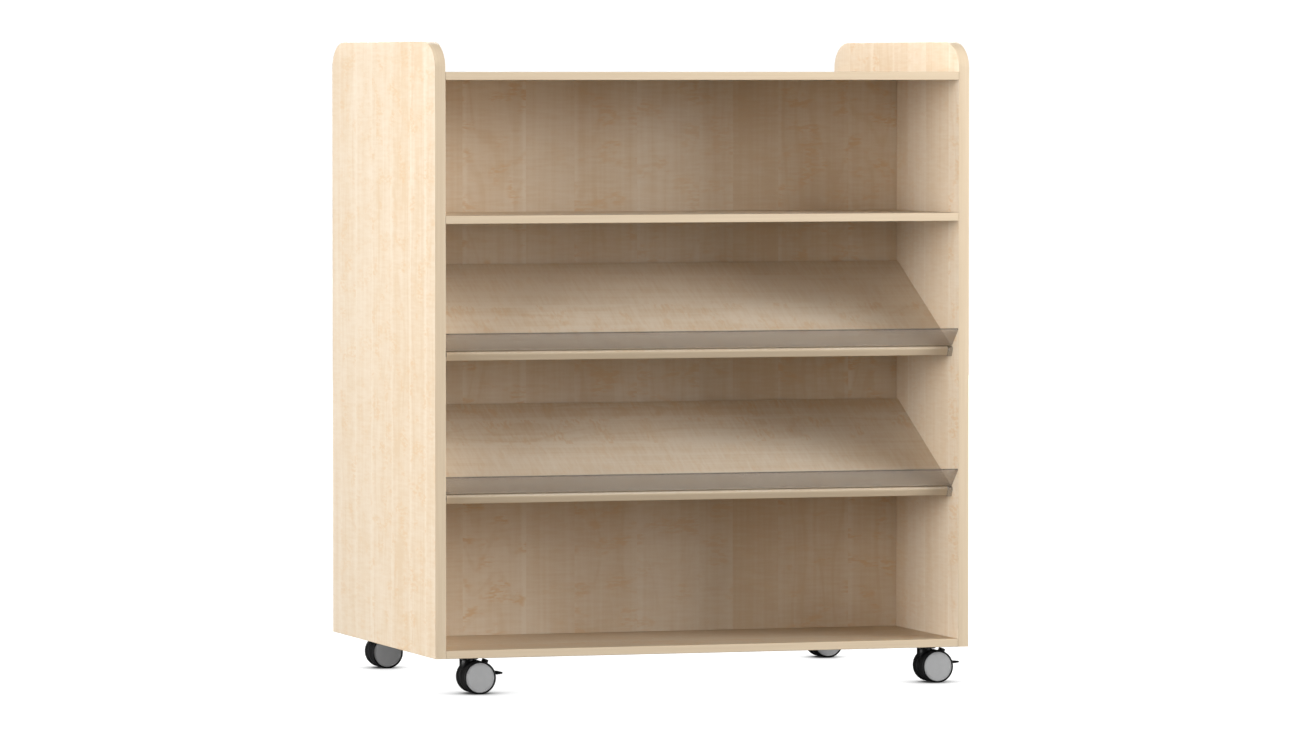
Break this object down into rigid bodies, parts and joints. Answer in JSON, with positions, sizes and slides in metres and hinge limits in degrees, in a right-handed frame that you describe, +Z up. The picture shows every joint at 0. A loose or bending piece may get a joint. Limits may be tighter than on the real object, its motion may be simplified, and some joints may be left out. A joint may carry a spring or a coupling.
{
  "type": "book trolley",
  "caption": "Double-sided mobile bookcase with a flat shelf and slanted display shelves with clear lips on each side, rounded side panels, and twin-wheel swivel casters with pedal brakes.",
  "frame": {"origin": "on the floor under the middle of the carcass", "axes": "+X to the right seen from the front, +Y from the front side to the rear side, +Z up"},
  "size_m": [1.1, 0.766, 1.272],
  "materials": {
    "maple_laminate": "satin maple-effect laminate",
    "smoked_acrylic": "clear smoked acrylic",
    "black_nylon": "moulded, fine texture",
    "black_tread": "smooth tread",
    "black_steel": "black coated",
    "white_nylon": "natural",
    "grey_disc": "satin",
    "zinc_steel": "zinc plated"
  },
  "bodies": {
    "carcass": {"left_side_panel": "maple_laminate", "right_side_panel": "maple_laminate", "top_panel": "maple_laminate", "bottom_panel": "maple_laminate", "centre_divider": "maple_laminate", "front_flat_shelf": "maple_laminate", "rear_flat_shelf": "maple_laminate", "front_upper_slanted_shelf": "maple_laminate", "front_lower_slanted_shelf": "maple_laminate", "rear_upper_slanted_shelf": "maple_laminate", "rear_lower_slanted_shelf": "maple_laminate", "front_upper_shelf_lip": "smoked_acrylic", "front_lower_shelf_lip": "smoked_acrylic", "rear_upper_shelf_lip": "smoked_acrylic", "rear_lower_shelf_lip": "smoked_acrylic", "caster_plate_front_left": "black_steel", "caster_plate_front_right": "black_steel", "caster_plate_rear_left": "black_steel", "caster_plate_rear_right": "black_steel", "king_pin_front_left": "zinc_steel", "king_pin_front_right": "zinc_steel", "king_pin_rear_left": "zinc_steel", "king_pin_rear_right": "zinc_steel"},
    "swivel_front_left": {"caster_housing_front_left": "black_nylon", "swivel_bush_front_left": "white_nylon", "axle_front_left": "zinc_steel", "brake_pin_front_left": "zinc_steel"},
    "swivel_front_right": {"caster_housing_front_right": "black_nylon", "swivel_bush_front_right": "white_nylon", "axle_front_right": "zinc_steel", "brake_pin_front_right": "zinc_steel"},
    "swivel_rear_left": {"caster_housing_rear_left": "black_nylon", "swivel_bush_rear_left": "white_nylon", "axle_rear_left": "zinc_steel"},
    "swivel_rear_right": {"caster_housing_rear_right": "black_nylon", "swivel_bush_rear_right": "white_nylon", "axle_rear_right": "zinc_steel"},
    "outer_wheel_front_left": {"outer_wheel_front_left": "black_tread", "outer_hub_disc_front_left": "grey_disc"},
    "inner_wheel_front_left": {"inner_wheel_front_left": "black_tread", "inner_hub_disc_front_left": "grey_disc"},
    "outer_wheel_front_right": {"outer_wheel_front_right": "black_tread", "outer_hub_disc_front_right": "grey_disc"},
    "inner_wheel_front_right": {"inner_wheel_front_right": "black_tread", "inner_hub_disc_front_right": "grey_disc"},
    "outer_wheel_rear_left": {"outer_wheel_rear_left": "black_tread", "outer_hub_disc_rear_left": "grey_disc"},
    "inner_wheel_rear_left": {"inner_wheel_rear_left": "black_tread", "inner_hub_disc_rear_left": "grey_disc"},
    "outer_wheel_rear_right": {"outer_wheel_rear_right": "black_tread", "outer_hub_disc_rear_right": "grey_disc"},
    "inner_wheel_rear_right": {"inner_wheel_rear_right": "black_tread", "inner_hub_disc_rear_right": "grey_disc"},
    "brake_pedal_front_left": {"brake_pedal_front_left": "black_nylon"},
    "brake_pedal_front_right": {"brake_pedal_front_right": "black_nylon"}
  },
  "joints": [
    {"name": "swivel_front_left", "type": "hinge", "parent": "carcass", "child": "swivel_front_left", "pos_m": [-0.473, -0.338, 0.06], "axis": [0, 0, 1], "continuous": true},
    {"name": "swivel_front_right", "type": "hinge", "parent": "carcass", "child": "swivel_front_right", "pos_m": [0.473, -0.338, 0.06], "axis": [0, 0, 1], "continuous": true},
    {"name": "swivel_rear_left", "type": "hinge", "parent": "carcass", "child": "swivel_rear_left", "pos_m": [-0.473, 0.338, 0.06], "axis": [0, 0, 1], "continuous": true},
    {"name": "swivel_rear_right", "type": "hinge", "parent": "carcass", "child": "swivel_rear_right", "pos_m": [0.473, 0.338, 0.06], "axis": [0, 0, 1], "continuous": true},
    {"name": "outer_roll_front_left", "type": "hinge", "parent": "swivel_front_left", "child": "outer_wheel_front_left", "pos_m": [-0.455, -0.3573, 0.0325], "axis": [0, 1, 0], "continuous": true},
    {"name": "inner_roll_front_left", "type": "hinge", "parent": "swivel_front_left", "child": "inner_wheel_front_left", "pos_m": [-0.455, -0.3187, 0.0325], "axis": [0, 1, 0], "continuous": true},
    {"name": "outer_roll_front_right", "type": "hinge", "parent": "swivel_front_right", "child": "outer_wheel_front_right", "pos_m": [0.491, -0.3573, 0.0325], "axis": [0, 1, 0], "continuous": true},
    {"name": "inner_roll_front_right", "type": "hinge", "parent": "swivel_front_right", "child": "inner_wheel_front_right", "pos_m": [0.491, -0.3187, 0.0325], "axis": [0, 1, 0], "continuous": true},
    {"name": "outer_roll_rear_left", "type": "hinge", "parent": "swivel_rear_left", "child": "outer_wheel_rear_left", "pos_m": [-0.455, 0.3573, 0.0325], "axis": [0, 1, 0], "continuous": true},
    {"name": "inner_roll_rear_left", "type": "hinge", "parent": "swivel_rear_left", "child": "inner_wheel_rear_left", "pos_m": [-0.455, 0.3187, 0.0325], "axis": [0, 1, 0], "continuous": true},
    {"name": "outer_roll_rear_right", "type": "hinge", "parent": "swivel_rear_right", "child": "outer_wheel_rear_right", "pos_m": [0.491, 0.3573, 0.0325], "axis": [0, 1, 0], "continuous": true},
    {"name": "inner_roll_rear_right", "type": "hinge", "parent": "swivel_rear_right", "child": "inner_wheel_rear_right", "pos_m": [0.491, 0.3187, 0.0325], "axis": [0, 1, 0], "continuous": true},
    {"name": "brake_front_left", "type": "hinge", "parent": "swivel_front_left", "child": "brake_pedal_front_left", "pos_m": [-0.43861, -0.338, 0.04531], "axis": [0, 1, 0], "range_deg": [0, 12]},
    {"name": "brake_front_right", "type": "hinge", "parent": "swivel_front_right", "child": "brake_pedal_front_right", "pos_m": [0.50739, -0.338, 0.04531], "axis": [0, 1, 0], "range_deg": [0, 12]}
  ]
}
